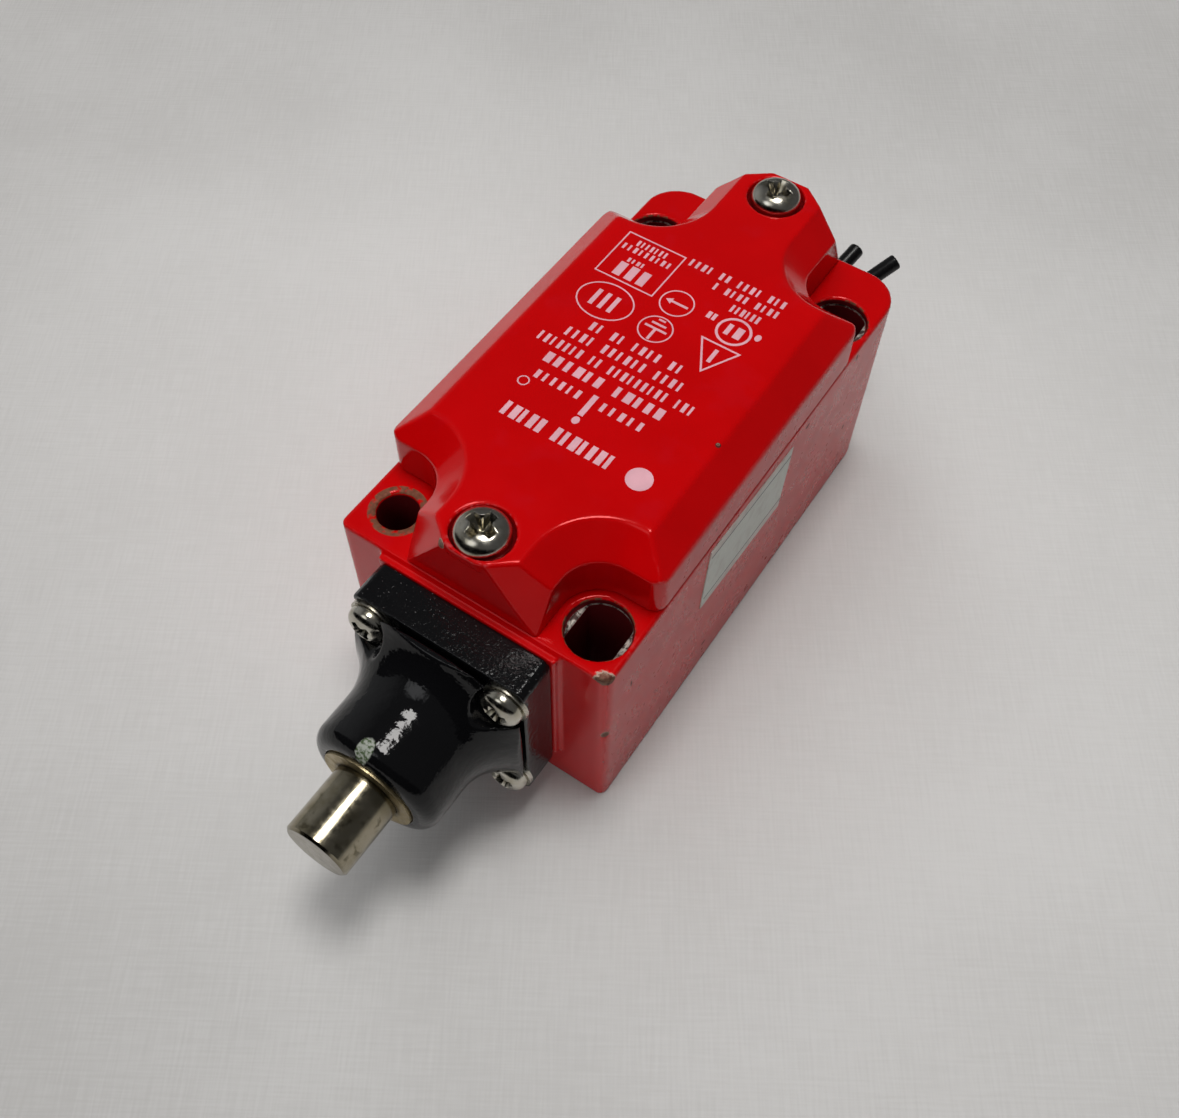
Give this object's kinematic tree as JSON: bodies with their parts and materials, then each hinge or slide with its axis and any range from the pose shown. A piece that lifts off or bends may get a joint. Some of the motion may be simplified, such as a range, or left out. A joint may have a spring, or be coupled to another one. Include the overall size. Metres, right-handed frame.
{
  "type": "limit switch",
  "caption": "Die-cast limit switch with a sprung end plunger, sloped screwed cover, side fixing holes and a threaded conduit entry.",
  "frame": {"origin": "centre of the 30 x 60 mm hole pattern on the flat back face", "axes": "+Z out through the cover, -Y along the plunger as it stands out, +Y towards the conduit entry, +X to the right seen from above with the plunger pointing at the viewer"},
  "size_m": [0.0402, 0.1208, 0.0441],
  "materials": {
    "body_red": "gloss red enamel on die-cast alloy, slight orange peel",
    "head_black": "gloss black enamel on die-cast alloy",
    "screw_steel": "nickel-plated steel, slightly dulled",
    "plunger_nickel": "turned and plated steel with fine rub marks",
    "bush_bronze": "dull sintered bronze",
    "label_white": "matt pale paper, also the white of the printed marks",
    "seal_rubber": "matt black rubber",
    "spring_steel": "drawn spring steel",
    "block_dark": "moulded dark grey plastic",
    "block_cover": "moulded beige plastic",
    "carrier_beige": "moulded beige plastic",
    "contact_brass": "stamped brass strip",
    "contact_silver": "silver contact tips",
    "terminal_steel": "zinc-plated steel",
    "wire_black": "black insulation"
  },
  "bodies": {
    "switch_body": {"housing": "body_red", "cover": "body_red", "cover_gasket": "seal_rubber", "cover_screws": "screw_steel", "side_label": "label_white", "actuator_head": "head_black", "head_gasket": "seal_rubber", "head_screws": "screw_steel", "head_screw_washers": "screw_steel", "plunger_bush": "bush_bronze", "plunger_seal": "seal_rubber", "plunger_spring": "spring_steel", "spring_seat": "spring_steel", "contact_block_base": "block_dark", "contact_block_cover": "block_cover", "block_screws": "terminal_steel", "carrier_spring": "spring_steel", "nc_terminal_left": "contact_brass", "nc_terminal_right": "contact_brass", "no_terminal_left": "contact_brass", "no_terminal_right": "contact_brass", "nc_fixed_tips": "contact_silver", "no_fixed_tips": "contact_silver", "terminal_clamps": "terminal_steel", "terminal_screws": "terminal_steel", "earth_screw": "terminal_steel", "earth_clamp": "terminal_steel", "wire_left": "wire_black", "wire_right": "wire_black"},
    "plunger": {"plunger": "plunger_nickel", "plunger_clip": "spring_steel"},
    "carrier": {"contact_carrier": "carrier_beige"},
    "nc_bridge": {"nc_bridge": "contact_brass", "nc_bridge_tips": "contact_silver", "nc_contact_spring": "spring_steel"},
    "no_bridge": {"no_bridge": "contact_brass", "no_bridge_tips": "contact_silver", "no_contact_spring": "spring_steel"}
  },
  "joints": [
    {"name": "plunger_slide", "type": "slide", "parent": "switch_body", "child": "plunger", "axis": [0, 1, 0], "range_m": [0, 0.005], "stiffness_N_per_m": 1000, "springref_m": -0.008, "deforming": ["plunger_spring"]},
    {"name": "carrier_slide", "type": "slide", "parent": "switch_body", "child": "carrier", "axis": [0, 1, 0], "range_m": [0, 0.005], "deforming": ["carrier_spring"]},
    {"name": "nc_bridge_slide", "type": "slide", "parent": "switch_body", "child": "nc_bridge", "axis": [0, 1, 0], "range_m": [0, 0.004]},
    {"name": "no_bridge_slide", "type": "slide", "parent": "switch_body", "child": "no_bridge", "axis": [0, 1, 0], "range_m": [0, 0.003], "deforming": ["no_contact_spring"]}
  ],
  "couplings": [
    {"joint": "carrier_slide", "follows": "plunger_slide", "ratio": 1},
    {"joint": "nc_bridge_slide", "follows": "plunger_slide", "ratio": 0.8},
    {"joint": "no_bridge_slide", "follows": "plunger_slide", "ratio": 0.6}
  ]
}
